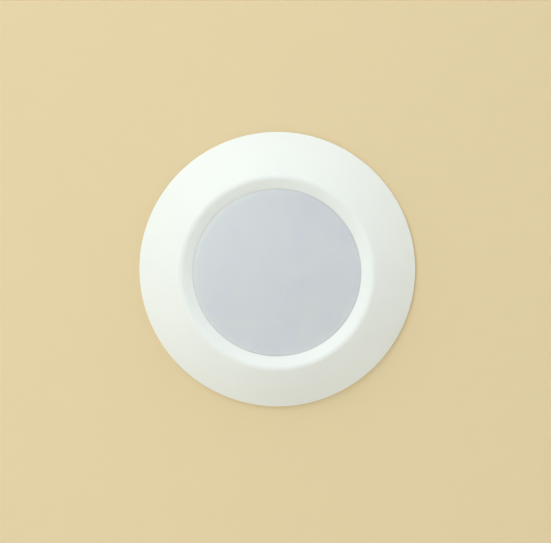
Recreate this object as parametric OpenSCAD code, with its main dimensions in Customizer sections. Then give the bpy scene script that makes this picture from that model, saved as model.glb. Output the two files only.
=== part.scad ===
// A round surface-mount disk light for a porch ceiling or wall: a white trim ring round a recessed
// frosted lens, a lamp tray and driver case behind it, and a twist-lock mounting plate that carries
// two torsion springs. Every piece is drawn with +Z towards the viewer and z = 0 on the mounting
// surface, then turned so that the light faces -Y and +Z is up.

/* [Trim] */
// Outside diameter of the trim ring
trim_d = 190; // [186:1:200]
// How far the crest of the trim stands off the mounting surface
trim_h = 24; // [23:0.5:28]
// Width of the outer slope, from the rim to the crest
slope_w = 30; // [27:0.5:33]
// Width of the inner bevel, from the crest to the lens
bevel_w = 8; // [7:0.5:9]
// Drop from the crest to the foot of the inner bevel
recess = 4; // [3:0.2:5]
// Wall thickness of the trim's shell
trim_wall = 2; // [1.6:0.1:2.4]
// Height of the trim's thin outer edge
rim_edge = 2.4; // [2:0.1:3]
// How far the outer slope bulges from a straight cone
slope_bulge = 1.3; // [0.8:0.1:1.8]
// Rounding of the crest
crest_round = 4; // [3:0.5:5]
// Number of ribs under the slope
rib_count = 16; // [8:4:24]
// Thickness of each rib
rib_t = 1.2; // [1:0.1:2]
// Number of screws that hold the trim to the tray
boss_count = 4; // [3:1:6]

/* [Ceiling gasket] */
// Width of the foam gasket's ring
gasket_w = 8.2; // [6:0.2:9]
// Thickness of the foam gasket
gasket_t = 3; // [2.6:0.1:3.2]

/* [Lens] */
// Thickness of the lens
lens_t = 2; // [1.6:0.1:2.4]
// How far the middle of the lens rises above its edge
lens_crown = 2.5; // [1:0.1:3]
// How far the edge of the lens's face lies behind the foot of the bevel
lens_sink = 0.2; // [0.1:0.1:0.8]
// Width of lens edge hidden under the trim's lip
lens_lap = 4.6; // [4:0.1:5]
// Thickness of the lip over the lens edge
lip_t = 2.2; // [1.8:0.1:2.6]
// Thickness of the flat seal under the lip
lens_seal_t = 0.8; // [0.6:0.1:1]

/* [Lamp tray] */
// Thickness of the tray's floor
tray_floor = 2.4; // [2:0.1:2.8]
// Thickness of the tray's side wall
tray_wall = 2.4; // [2:0.1:3]
// Rounding of the tray's outer back edge
tray_round = 1.2; // [0.6:0.1:1.8]
// Thickness of the seal between tray and trim
tray_seal_t = 1.2; // [0.8:0.1:1.6]
// Thickness of the heat pad under the circuit board
pad_t = 0.5; // [0.4:0.1:0.8]
// Thickness of the round circuit board
board_t = 1.6; // [1.2:0.1:2]
// Gap between the round circuit board and the tray's side wall
board_margin = 5.6; // [5:0.2:6.4]
// Wall thickness of the reflector
reflector_t = 1.2; // [1:0.1:1.6]

/* [Mounting plate] */
// How far the plate's edge stands outside the tray
plate_lap = 0.5; // [0:0.1:1]
// Width of the plate's raised outer ring
plate_ring_w = 13; // [12:0.5:14]
// Sheet thickness of the plate
plate_t = 1.2; // [1:0.1:1.5]
// How far the plate's outer ring is pressed forward
plate_rise = 2.2; // [2:0.1:2.6]
// Gap between the plate's raised ring and the tray
plate_gap = 1; // [1:0.1:1.4]
// Distance between the two box screws
box_spacing = 88.9; // [87:0.1:91]
// Width of each box screw slot
box_slot_w = 4.8; // [4.4:0.1:5.4]
// Length of each box screw slot
box_slot_l = 9; // [7:0.5:10]
// Angle that the light turns to unlock
twist = 20; // [16:1:24]
// Distance of the locking studs from the plate's edge
stud_edge = 7; // [6.4:0.1:7.4]

/* [Driver case] */
// Outside diameter of the driver case
case_d = 68; // [64:1:72]
// Wall thickness of the driver case
case_wall = 2; // [1.6:0.1:2.4]
// How far the case reaches behind the mounting surface
case_depth = 20; // [19.5:0.5:26]
// Thickness of the cover
cover_t = 2.2; // [1.8:0.1:2.6]
// Rounding of the cover's outer edge
cover_round = 1.2; // [0.6:0.1:1.4]
// Thickness of the driver's circuit board
driver_board_t = 1.6; // [1.2:0.1:2]
// Radius of the hole for the supply leads
lead_bore_r = 3.5; // [3:0.1:4]
// Wall of the rubber lead grommet
grommet_wall = 1.6; // [1.2:0.1:2]
// Full travel of the colour selector
selector_travel = 8; // [6:0.5:9]

/* [Torsion springs] */
// Wire diameter
wire_d = 1.8; // [1.6:0.1:1.8]
// Whole turns of each coil, besides the part turn between its arms
coil_turns = 2; // [2:1:3]
// Distance from one turn to the next
coil_pitch = 2.3; // [2.3:0.05:2.5]
// Outside radius of the hollow rivet that carries the coil
arbor_r = 4; // [3.4:0.1:4.2]
// Half of the angle between the arms at rest
arm_angle = 40; // [30:1:50]
// Straight length of each arm
arm_l = 58; // [45:1:70]
// Length of the hooked tip of each arm
tip_l = 7; // [5:0.5:10]
// How far behind the mounting surface the coil lies
coil_drop = 12; // [11:0.5:14]
// Width of the spring bracket
bracket_w = 14; // [13:0.5:16]

/* [Hidden] */
$fn = 96;

// Clearances
slip = 0.1;          // round a piece that is pressed or pushed into its seat
running = 0.3;       // beside a stud that moves in its slot
loose = 0.4;         // round a piece that only has to drop in
coil_play = 0.6;     // between a spring coil and its rivet
side_gap = 0.35;     // beside a spring coil
bore_slip = 0.05;    // round a screw or rivet in its hole
knob_play = 0.35;    // round the selector's knob

// Levels along the light's axis, from the mounting surface outwards
trim_r = trim_d / 2;
crest_r = trim_r - slope_w;
view_r = crest_r - bevel_w;
case_r = case_d / 2;
rim_back = 0.5;
plate_front = plate_rise + plate_t;
tray_back = plate_front + plate_gap;
tray_top = tray_back + tray_floor;
board_z = tray_top + pad_t;
board_top = board_z + board_t;
foot_z = trim_h - recess;
lip_z = foot_z - lip_t;
lens_front = lip_z - lens_seal_t;
lens_back = lens_front - lens_t;
lens_face_z = foot_z - lens_sink;
reflector_top = lens_back;

// Radii of the lens seat, the skirt round it and the tray below
lens_r = view_r + lens_lap;
lens_face_r = view_r - slip;
lens_edge = 0.3;
skirt_in = lens_r + loose;
skirt_wall = 2;
skirt_out = skirt_in + skirt_wall;
skirt_z = lens_back - reflector_t - 0.2;
tray_r = skirt_out;
tray_in = tray_r - tray_wall;
board_r = tray_in - board_margin;
plate_r = tray_r + plate_lap;
tray_rim_z = skirt_z - tray_seal_t;
seal_margin = 0.3;
lead_hole_r = 6;

// Corners of the trim's outer profile, from the rim inwards, with the rounding of each
edge_round = 0.8;
foot_round = 0.5;
slope_angle = atan((trim_h - rim_edge) / (trim_r - crest_r));
slope_half = norm([trim_r - crest_r, trim_h - rim_edge]) / 2;
slope_round = 0.75 * pow(slope_half, 2) / slope_bulge;
crest_slope = slope_angle - atan(slope_bulge / slope_half);
bevel_angle = atan(recess / (crest_r - view_r));
crest_tip = cos((crest_slope - bevel_angle) / 2) / cos((crest_slope + bevel_angle) / 2) - 1;
rim_corner = [trim_r, rim_edge];
crest_corner = [crest_r, trim_h + crest_round * crest_tip];
slope_corner = (rim_corner + crest_corner) / 2 + slope_bulge * [sin(slope_angle), cos(slope_angle)];
trim_corners = [
    [trim_r, rim_back], rim_corner, slope_corner, crest_corner, [view_r, foot_z], [view_r, lip_z]
];
arc_steps = 8;

// Screws
screw_r = 1.5;
screw_head_r = 3.2;
screw_head_h = 2.1;
small_head_r = 2.7;
small_head_h = 1.7;
boss_r = 3.6;
boss_reach = 6.5;
boss_ring_r = max(tray_r + boss_reach, plate_r + screw_head_r + 1);
boss_turn = 45;
screw_reach = 8;
case_screw_reach = 6;
cover_screw_reach = 7;
driver_screw_reach = 4;

// Gasket channel in the back of the trim
rim_w = 4;
gasket_play = 0.3;
channel_out = trim_r - rim_w;
channel_in = channel_out - gasket_w - 2 * gasket_play;
channel_wall = 1.6;
shelf_t = 1.6;

// Mounting plate
plate_hole_gap = 2;
plate_hole_r = case_r + plate_hole_gap;
step_run = 2;
step_r = plate_r - plate_ring_w - step_run;
bend_in = 0.4;
bend_out = 1.2;
plate_edge = 0.25;
stud_r = plate_r - stud_edge;
stud_count = 4;
stud_neck_r = 2.5;
stud_head_r = 4.2;
stud_shoulder_r = 3.5;
stud_head_t = 1.3;
stud_tail_r = 2.2;
stud_turn = 45;
entry_r = stud_head_r + running;
ground_turn = 110;
ground_r = plate_r - plate_ring_w / 2;
ground_screw_r = 2.4;
ground_washer_r = 4.6;
ground_washer_t = 0.6;
ground_hex_r = 3.9;
ground_head_h = plate_rise - 0.3;

// Driver case
case_in = case_r - case_wall;
cover_z = -case_depth;
cover_back = cover_z - cover_t;
seam_round = 0.35;
case_post_r = 3.4;
case_post_ring = case_in - 3;
case_post_turn = 90;
board_post_turn = 30;
driver_front = -1;
driver_back = driver_front - driver_board_t;
grommet_drop = case_in / 2;
grommet_pos = [0, -grommet_drop];
grommet_r = lead_bore_r + grommet_wall;
grommet_lip = 1.6;
grommet_flange = 1.9;
selector_rise = case_in / 2;
selector_pos = [0, selector_rise];
knob_w = 3;
knob_l = 2.4;
knob_proud = 0.9;
knob_depth = 1.6;
switch_h = 4;
switch_margin = 2;

// Parts on the driver's board, each placed at a share of the case's inner radius
transformer_pos = [-0.42, 0.06] * case_in;
core_l = 17;
core_w = 6.5;
yoke_t = 2.6;
drum_h = 6.4;
drum_r = 5.6;
bobbin_w = 14;
bobbin_t = 1.4;
capacitor_pos = [0.42, 0.13] * case_in;
capacitor_r = 5;
capacitor_h = 13;
small_capacitor_pos = [0.56, -0.25] * case_in;
small_capacitor_r = 4;
small_capacitor_h = 11;
fuse_pos = [-0.38, -0.34] * case_in;
fuse_r = 1.6;
fuse_l = 9;
fuse_cap_l = 2;
varistor_pos = [0.4, -0.53] * case_in;
varistor_r = 4;
varistor_t = 2.4;
pin_r = 0.4;
rectifier_pos = [-0.47, -0.6] * case_in;
rectifier_l = 8;
rectifier_w = 6;
rectifier_h = 2.8;
chip_pos = [0.02, 0.12] * case_in;
chip_l = 6;
chip_w = 4;
chip_h = 1.5;
terminal_l = 13;
terminal_w = 8;
terminal_h = 8.5;
pole_pitch = 6;

// Circuit board
led_rings = [[0.39 * board_r, 8], [0.61 * board_r, 14], [0.84 * board_r, 20]];
led_l = 3.5;
led_w = 2.8;
led_h = 0.8;
board_screw_ring = 0.72 * board_r;
board_screw_turn = 30;
lead_r = 0.75;
lead_gap = 3.2;
lead_bend = 2.2;
connector_x = 9;
connector_l = 8;
connector_w = 8;
connector_h = 3.6;

// Torsion springs
wire_r = wire_d / 2;
coil_r = arbor_r + coil_play + wire_r;
coil_wind = coil_turns * 360 + 180 - 2 * arm_angle;
coil_w = coil_pitch * coil_wind / 360;
bracket_t = 1.2;
bracket_bend = 1.2;
upright_margin = 1;
upright_x = step_r + step_run + upright_margin;
upright_face = upright_x + bracket_t;
coil_start_x = upright_face + side_gap + wire_r;
coil_end_x = coil_start_x + coil_w;
arbor_flange_x = coil_end_x + wire_r + side_gap;
arbor_flange_t = 0.8;
arbor_flange_r = arbor_r + 1.8;
arbor_bore_r = arbor_r - 1.2;
tip_bend = 3;
tip_turn = 60;
arm_end_gap = 0.1;
base_l = 10.5;
rivet_r = 1.5;
rivet_head_r = 2.6;
rivet_head_t = 0.7;
rivet_margin = 2.7;
rivet_y = bracket_w / 2 - rivet_margin;
rivet_x = upright_x + 0.57 * base_l;

// Small helpers

function unit(v) = v / norm(v);

// Points of the arc that rounds corner b between its neighbours a and c
function corner_arc(a, b, c, r) =
    let (u = unit(a - b), w = unit(c - b), turn = 180 - acos(u * w))
    let (p = b + u * r * tan(turn / 2), centre = b + unit(u + w) * r / cos(turn / 2))
    let (from = atan2(p[1] - centre[1], p[0] - centre[0]))
    let (step = sign(cross(b - a, c - b)) * turn / arc_steps)
    [for (i = [0:arc_steps]) centre + r * [cos(from + step * i), sin(from + step * i)]];

// A path through the corners, each rounded to its own radius, or left sharp at radius 0
function rounded_path(corners, radii) =
    [for (i = [0:len(corners) - 1])
        each (radii[i] == 0
            ? [corners[i]]
            : corner_arc(corners[i - 1], corners[i], corners[i + 1], radii[i]))];

// Unit normal on the outer side of the path's segment i
function outer_normal(path, i) = let (d = unit(path[i + 1] - path[i])) [d[1], -d[0]];

// The corners moved inwards by a wall thickness, mitred where two segments meet
function inset_corners(path, wall) =
    let (last = len(path) - 1)
    [for (i = [0:last])
        let (n = outer_normal(path, max(i - 1, 0)), m = outer_normal(path, min(i, last - 1)))
        path[i] - wall * (n + m) / (1 + n * m)];

function reversed(list) = [for (i = [len(list) - 1:-1:0]) list[i]];

// Turns a piece that is drawn facing +Z so that it faces -Y
module facing() {
    rotate([90, 0, 0])
        children();
}

module ring(count, radius, turn = 0) {
    for (i = [0:count - 1])
        rotate([0, 0, turn + i * 360 / count])
            translate([radius, 0, 0])
                children();
}

module tube(outer, inner, from, to) {
    rotate_extrude()
        translate([inner, from])
            square([outer - inner, to - from]);
}

// A pan-head screw with a cross recess, its head's seat at z = 0 and its shank towards +Z
module pan_screw(shank_r, length, head_r, head_h) {
    dome = head_h * 0.45;
    difference() {
        union() {
            cylinder(r = shank_r, h = length);
            translate([0, 0, dome - head_h])
                cylinder(r = head_r, h = head_h - dome);
            translate([0, 0, -head_h])
                cylinder(r1 = head_r * 0.62, r2 = head_r, h = dome);
        }
        for (turn = [0, 90])
            rotate([0, 0, turn])
                translate([-head_r * 0.5, -0.35, -head_h - 1])
                    cube([head_r, 0.7, 1 + head_h * 0.5]);
    }
}

// Trim

outer_path = rounded_path(trim_corners, [0, edge_round, slope_round, crest_round, foot_round, 0]);

function inner_path(wall) =
    rounded_path(inset_corners(trim_corners, wall), [0, 0, slope_round - wall, crest_round - wall, 0, 0]);

// Everything below the middle of the shell's wall, so that what is clipped to it stays hidden
module below_shell() {
    polygon(concat(inner_path(trim_wall / 2), [[view_r + trim_wall / 2, -1], [trim_r - trim_wall / 2, -1]]));
}

module trim_profile() {
    polygon(concat(outer_path, reversed(inner_path(trim_wall))));
    intersection() {
        below_shell();
        union() {
            translate([view_r, lip_z])
                square([skirt_out - view_r, trim_h - lip_z]);
            translate([skirt_in, skirt_z])
                square([skirt_wall, trim_h - skirt_z]);
            translate([channel_in - channel_wall, rim_back + gasket_play])
                square([channel_wall, trim_h]);
            translate([channel_in - channel_wall, gasket_t])
                square([channel_out - channel_in + channel_wall + 1, shelf_t]);
            translate([channel_out, rim_back])
                square([trim_r - channel_out, gasket_t]);
        }
    }
}

module rib_profile() {
    rib_z = tray_top + 2.4;
    rib_in = tray_r + 1;
    intersection() {
        below_shell();
        union() {
            translate([rib_in, rib_z])
                square([channel_in - channel_wall / 2 - rib_in, trim_h]);
            translate([skirt_out - skirt_wall / 2, skirt_z + 0.6])
                square([rib_in - skirt_out + skirt_wall, trim_h]);
        }
    }
}

module trim_ring() {
    color("white")
        facing()
            difference() {
                union() {
                    rotate_extrude()
                        trim_profile();
                    for (i = [0:rib_count - 1])
                        rotate([90, 0, (i + 0.5) * 360 / rib_count])
                            translate([0, 0, -rib_t / 2])
                                linear_extrude(rib_t)
                                    rib_profile();
                    intersection() {
                        ring(boss_count, boss_ring_r, boss_turn)
                            translate([0, 0, tray_top])
                                cylinder(r = boss_r, h = trim_h);
                        rotate_extrude()
                            below_shell();
                    }
                }
                ring(boss_count, boss_ring_r, boss_turn)
                    translate([0, 0, tray_top - 1])
                        cylinder(r = screw_r + bore_slip, h = screw_reach + 1.5);
            }
}

module ceiling_gasket() {
    color("dimgray")
        facing()
            tube(channel_out - gasket_play, channel_in + gasket_play, 0, gasket_t);
}

// Lens and its seals

lens_arc_r = (pow(lens_face_r, 2) + pow(lens_crown, 2)) / (2 * lens_crown);
lens_arc_z = lens_face_z + lens_crown - lens_arc_r;

// A shallow dome about the lens's centre of curvature, from the axis out to a reach
function dome(r, reach) =
    let (span = asin(reach / r))
    [for (i = [0:arc_steps]) let (a = span * i / arc_steps) [r * sin(a), lens_arc_z + r * cos(a)]];

// A domed face that fills the view, with a flat edge behind the trim's lip
module lens() {
    hollow_r = lens_face_r - lens_t;
    color("lavender")
        facing()
            rotate_extrude()
                polygon(concat(
                    dome(lens_arc_r, lens_face_r - lens_edge),
                    [
                        [lens_face_r, lens_face_z - lens_edge], [lens_face_r, lens_front],
                        [lens_r, lens_front], [lens_r, lens_back], [hollow_r, lens_back]
                    ],
                    reversed(dome(lens_arc_r - lens_t, hollow_r))
                ));
}

module lens_seal() {
    color("gainsboro")
        facing()
            tube(lens_r - 0.2, view_r + 0.6, lens_front, lip_z);
}

module reflector() {
    foot_w = 4;
    foot_out = board_r - loose;
    foot_in = foot_out - foot_w;
    top_in = view_r + 0.4;
    top_out = lens_r - seal_margin;
    color("white")
        facing()
            rotate_extrude()
                polygon([
                    [foot_in, board_top], [foot_out, board_top], [foot_out, board_top + reflector_t],
                    [foot_in + reflector_t * 1.5, board_top + reflector_t],
                    [top_in + reflector_t, reflector_top - reflector_t],
                    [top_out, reflector_top - reflector_t],
                    [top_out, reflector_top], [top_in, reflector_top], [foot_in, board_top + reflector_t]
                ]);
}

// Lamp tray and what lies in it

module lamp_tray() {
    lug_r = boss_r + 0.6;
    color("silver")
        facing()
            difference() {
                union() {
                    rotate_extrude()
                        polygon(rounded_path([
                            [lead_hole_r, tray_back], [tray_r, tray_back],
                            [tray_r, tray_rim_z], [tray_in, tray_rim_z],
                            [tray_in, tray_top], [lead_hole_r, tray_top]
                        ], [0, tray_round, 0, 0, 0, 0]));
                    ring(boss_count, boss_ring_r, boss_turn) {
                        translate([0, 0, tray_back])
                            cylinder(r = lug_r, h = tray_floor);
                        translate([tray_in - boss_ring_r + 0.5, -lug_r, tray_back])
                            cube([boss_ring_r - tray_in - 0.5, 2 * lug_r, tray_floor]);
                    }
                }
                ring(boss_count, boss_ring_r, boss_turn)
                    translate([0, 0, tray_back - 1])
                        cylinder(r = screw_r + running, h = tray_floor + 2);
                ring(stud_count, stud_r, stud_turn)
                    translate([0, 0, tray_back - 1])
                        cylinder(r = stud_tail_r + bore_slip, h = tray_floor + 2);
                ring(3, board_screw_ring, board_screw_turn)
                    translate([0, 0, tray_top - tray_floor * 0.8])
                        cylinder(r = screw_r + bore_slip, h = tray_floor);
                ring(3, case_post_ring, case_post_turn)
                    case_screw_hole();
            }
}

module case_screw_hole() {
    translate([0, 0, tray_back - 1])
        cylinder(r = screw_r + bore_slip, h = tray_floor + 2);
    translate([0, 0, tray_top - screw_r])
        cylinder(r1 = screw_r + bore_slip, r2 = 2 * screw_r + bore_slip, h = screw_r);
    translate([0, 0, tray_top])
        cylinder(r = 2 * screw_r + bore_slip, h = 1);
}

module tray_seal() {
    color("darkslategray")
        facing()
            tube(skirt_out - seal_margin, skirt_in + seal_margin, tray_rim_z, skirt_z);
}

module heat_pad() {
    color("slategray")
        facing()
            difference() {
                tube(board_r - 2, lead_hole_r + 1, tray_top, board_z);
                ring(3, board_screw_ring, board_screw_turn)
                    translate([0, 0, tray_top - 1])
                        cylinder(r = screw_r + running, h = pad_t + 2);
            }
}

module led_board() {
    color("whitesmoke")
        facing()
            difference() {
                tube(board_r, lead_hole_r - 1, board_z, board_top);
                ring(3, board_screw_ring, board_screw_turn)
                    translate([0, 0, board_z - 1])
                        cylinder(r = screw_r + running, h = board_t + 2);
            }
}

module led_chips() {
    color("khaki")
        facing()
            for (row = led_rings)
                ring(row[1], row[0], 180 / row[1])
                    translate([-led_l / 2, -led_w / 2, board_top])
                        cube([led_l, led_w, led_h]);
}

module board_screws() {
    color("silver")
        facing()
            ring(3, board_screw_ring, board_screw_turn)
                translate([0, 0, board_top])
                    mirror([0, 0, 1])
                        pan_screw(screw_r, board_t + pad_t + tray_floor * 0.7, small_head_r, small_head_h);
}

module lead_connector() {
    color("ivory")
        facing()
            translate([connector_x, -connector_w / 2, board_top])
                difference() {
                    cube([connector_l, connector_w, connector_h]);
                    for (side = [-1, 1])
                        translate([-1, connector_w / 2 + side * lead_gap / 2, connector_h / 2])
                            rotate([0, 90, 0])
                                cylinder(r = lead_r + slip, h = 4);
                }
}

// One of the two leads from the driver's board up through the tray and into the connector
module lead(side) {
    rise_z = board_top + connector_h / 2;
    translate([0, side * lead_gap / 2, 0]) {
        translate([0, 0, driver_front])
            cylinder(r = lead_r, h = rise_z - lead_bend - driver_front);
        translate([lead_bend, 0, rise_z - lead_bend])
            rotate([90, 0, 180])
                rotate_extrude(angle = 90)
                    translate([lead_bend, 0])
                        circle(r = lead_r);
        translate([lead_bend, 0, rise_z])
            rotate([0, 90, 0])
                cylinder(r = lead_r, h = connector_x + 2 - lead_bend);
    }
}

module positive_lead() {
    color("red")
        facing()
            lead(1);
}

module negative_lead() {
    color("black")
        facing()
            lead(-1);
}

module trim_screws() {
    color("silver")
        facing()
            ring(boss_count, boss_ring_r, boss_turn)
                translate([0, 0, tray_back])
                    pan_screw(screw_r, tray_floor + screw_reach, screw_head_r, screw_head_h);
}

module locking_studs() {
    shoulder_z = plate_front + running;
    head_z = plate_rise - running;
    color("silver")
        facing()
            ring(stud_count, stud_r, stud_turn) {
                translate([0, 0, tray_back])
                    cylinder(r = stud_tail_r, h = tray_floor);
                translate([0, 0, shoulder_z])
                    cylinder(r = stud_shoulder_r, h = tray_back - shoulder_z);
                translate([0, 0, head_z])
                    cylinder(r = stud_neck_r, h = shoulder_z - head_z);
                translate([0, 0, head_z - stud_head_t])
                    cylinder(r1 = stud_head_r - 0.5, r2 = stud_head_r, h = stud_head_t);
            }
}

// Mounting plate and its ground screw

module keyhole() {
    rotate_extrude(angle = twist)
        translate([stud_r - stud_neck_r - running, -1])
            square([2 * (stud_neck_r + running), plate_front + 2]);
    translate([stud_r, 0, -1])
        cylinder(r = stud_neck_r + running, h = plate_front + 2);
    rotate([0, 0, twist])
        translate([stud_r, 0, -1])
            cylinder(r = entry_r, h = plate_front + 2);
}

module box_slot() {
    reach = (box_slot_l - box_slot_w) / 2;
    translate([0, 0, -1]) {
        for (end = [-reach, reach])
            translate([0, end, 0])
                cylinder(d = box_slot_w, h = plate_front + 2);
        translate([-box_slot_w / 2, -reach, 0])
            cube([box_slot_w, 2 * reach, plate_front + 2]);
    }
}

module mounting_plate() {
    color("lightsteelblue")
        facing()
            difference() {
                rotate_extrude()
                    polygon(rounded_path([
                        [plate_hole_r, 0], [step_r, 0],
                        [step_r + step_run, plate_rise], [plate_r, plate_rise],
                        [plate_r, plate_front], [step_r + step_run - 0.7, plate_front],
                        [step_r - 0.7, plate_t],
                        [plate_hole_r, plate_t]
                    ], [0, bend_out, bend_in, plate_edge, plate_edge, bend_out, bend_in, 0]));
                for (i = [0:stud_count - 1])
                    rotate([0, 0, stud_turn + i * 360 / stud_count])
                        keyhole();
                for (side = [-1, 1])
                    translate([0, side * box_spacing / 2, 0])
                        box_slot();
                rotate([0, 0, ground_turn])
                    translate([ground_r, 0, -1])
                        cylinder(r = ground_screw_r + bore_slip, h = plate_front + 2);
                for (side = [0, 180])
                    rotate([0, 0, side])
                        bracket_rivet_places()
                            translate([0, 0, plate_rise - 1])
                                cylinder(r = rivet_r + bore_slip, h = plate_t + 2);
            }
}

module ground_screw() {
    slot_w = 1.2;
    color("green")
        facing()
            rotate([0, 0, ground_turn])
                translate([ground_r, 0, plate_rise]) {
                    cylinder(r = ground_screw_r, h = plate_t + 0.4);
                    difference() {
                        union() {
                            translate([0, 0, -ground_washer_t])
                                cylinder(r = ground_washer_r, h = ground_washer_t);
                            translate([0, 0, -ground_head_h])
                                cylinder(r = ground_hex_r, h = ground_head_h - ground_washer_t, $fn = 6);
                        }
                        translate([-ground_washer_r, -slot_w / 2, -ground_head_h - 1])
                            cube([2 * ground_washer_r, slot_w, 1 + ground_head_h / 2]);
                    }
                }
}

// Spring brackets on the plate, drawn for the right side

module bracket_rivet_places() {
    for (side = [-1, 1])
        translate([rivet_x, side * rivet_y, 0])
            children();
}

module spring_bracket() {
    top = plate_rise;
    corner = bracket_bend + bracket_t;
    color("lightsteelblue")
        difference() {
            union() {
                rotate([90, 0, 0])
                    translate([0, 0, -bracket_w / 2])
                        linear_extrude(bracket_w)
                            union() {
                                translate([upright_x + corner, top - bracket_t])
                                    square([base_l - corner, bracket_t]);
                                intersection() {
                                    translate([upright_x + corner, top - corner])
                                        difference() {
                                            circle(r = corner);
                                            circle(r = bracket_bend);
                                        }
                                    translate([upright_x, top - corner])
                                        square([corner, corner]);
                                }
                                translate([upright_x, -coil_drop])
                                    square([bracket_t, coil_drop + top - corner]);
                            }
                translate([upright_x, 0, -coil_drop])
                    rotate([0, 90, 0])
                        cylinder(d = bracket_w, h = bracket_t);
            }
            translate([upright_x - 1, 0, -coil_drop])
                rotate([0, 90, 0])
                    cylinder(r = arbor_r + bore_slip, h = bracket_t + 2);
            bracket_rivet_places()
                translate([0, 0, top - bracket_t - 1])
                    cylinder(r = rivet_r + bore_slip, h = bracket_t + 2);
        }
}

module bracket_rivets() {
    color("silver")
        facing()
            for (side = [0, 180])
                rotate([0, 0, side])
                    bracket_rivet_places() {
                        translate([0, 0, plate_rise - bracket_t])
                            cylinder(r = rivet_r, h = plate_t + bracket_t);
                        translate([0, 0, plate_front])
                            cylinder(r1 = rivet_head_r, r2 = rivet_head_r - 0.5, h = rivet_head_t);
                        translate([0, 0, plate_rise - bracket_t - rivet_head_t])
                            cylinder(r1 = rivet_head_r - 0.5, r2 = rivet_head_r, h = rivet_head_t);
                    }
}

module right_spring_bracket() {
    color("lightsteelblue")
        facing()
            spring_bracket();
}

module left_spring_bracket() {
    color("lightsteelblue")
        facing()
            rotate([0, 0, 180])
                spring_bracket();
}

// The hollow rivet that each coil sits on, with its flange outside the coil
module spring_arbor() {
    peen_x = upright_x - arbor_flange_t;
    end_x = arbor_flange_x + arbor_flange_t;
    translate([0, 0, -coil_drop])
        rotate([0, 90, 0])
            rotate_extrude()
                polygon([
                    [arbor_bore_r, peen_x], [arbor_r + 1, peen_x],
                    [arbor_r + 1, upright_x], [arbor_r, upright_x],
                    [arbor_r, arbor_flange_x], [arbor_flange_r, arbor_flange_x], [arbor_flange_r, end_x],
                    [arbor_bore_r, end_x]
                ]);
}

module spring_arbors() {
    color("silver")
        facing()
            ring(2, 0)
                spring_arbor();
}

// Torsion springs, drawn for the right side. The wire comes in along the upper arm, winds backwards
// round the X axis and leaves along the lower arm, so squeezing the arms winds the coil tighter.

curl_rings = 8;
coil_sides = 6;
coil_rings = ceil(coil_wind / 360 * curl_rings) + 1;

// Angle round the coil at a share s of its length, from the upper arm to the lower one
function coil_angle(s) = -arm_angle - s * coil_wind;
function coil_point(s) =
    [coil_start_x + s * coil_w, coil_r * cos(coil_angle(s)), -coil_drop - coil_r * sin(coil_angle(s))];

// The corners of the wire's section at share s, in the plane of the X axis
function coil_section(s) =
    let (a = coil_angle(s))
    [for (k = [0:coil_sides - 1])
        let (t = 360 * k / coil_sides)
        coil_point(s) + wire_r * (cos(t) * [1, 0, 0] + sin(t) * [0, cos(a), -sin(a)])];

// Least gap of the wire to itself, measured between points at least half a turn apart
gap_steps = ceil(coil_wind / 10);
half_turn_steps = floor(180 / coil_wind * gap_steps);
coil_gap = min([for (i = [0:gap_steps - half_turn_steps], j = [i + half_turn_steps:gap_steps])
    norm(coil_point(i / gap_steps) - coil_point(j / gap_steps))]) - wire_d;
echo("least gap of a spring coil to itself", coil_gap);

module spring_coil() {
    points = [for (i = [0:coil_rings - 1]) each coil_section(i / (coil_rings - 1))];
    last = (coil_rings - 1) * coil_sides;
    sides = [for (i = [0:coil_rings - 2], k = [0:coil_sides - 1])
        let (a = i * coil_sides + k, b = i * coil_sides + (k + 1) % coil_sides)
        each [[a, a + coil_sides, b], [b, a + coil_sides, b + coil_sides]]];
    caps = [for (k = [1:coil_sides - 2])
        each [[0, k, k + 1], [last, last + k + 1, last + k]]];
    polyhedron(points = points, faces = concat(sides, caps));
}

// One arm in the plane at x, on the upper side, or on the lower one when side is -1
module spring_arm(x, side) {
    translate([x, 0, -coil_drop])
        mirror([0, side < 0 ? 1 : 0, 0])
            rotate([arm_angle, 0, 0])
                translate([0, coil_r, -arm_end_gap])
                    mirror([0, 0, 1]) {
                        cylinder(r = wire_r, h = arm_l);
                        translate([0, tip_bend, arm_l]) {
                            rotate([90, 0, -90])
                                rotate_extrude(angle = tip_turn)
                                    translate([tip_bend, 0])
                                        circle(r = wire_r);
                            rotate([-tip_turn, 0, 0])
                                translate([0, -tip_bend, 0])
                                    cylinder(r = wire_r, h = tip_l);
                        }
                    }
}

module right_spring_coil() {
    color("lightgray")
        facing()
            spring_coil();
}

module left_spring_coil() {
    color("lightgray")
        facing()
            rotate([0, 0, 180])
                spring_coil();
}

module right_spring_upper_arm() {
    color("lightgray")
        facing()
            spring_arm(coil_start_x, 1);
}

module right_spring_lower_arm() {
    color("lightgray")
        facing()
            spring_arm(coil_end_x, -1);
}

module left_spring_upper_arm() {
    color("lightgray")
        facing()
            rotate([0, 0, 180])
                spring_arm(coil_end_x, -1);
}

module left_spring_lower_arm() {
    color("lightgray")
        facing()
            rotate([0, 0, 180])
                spring_arm(coil_start_x, 1);
}

// Driver case, its cover and what they hold

module case_wall_bound() {
    translate([0, 0, cover_z])
        cylinder(r = case_r - case_wall / 2, h = tray_back - cover_z);
}

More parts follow.
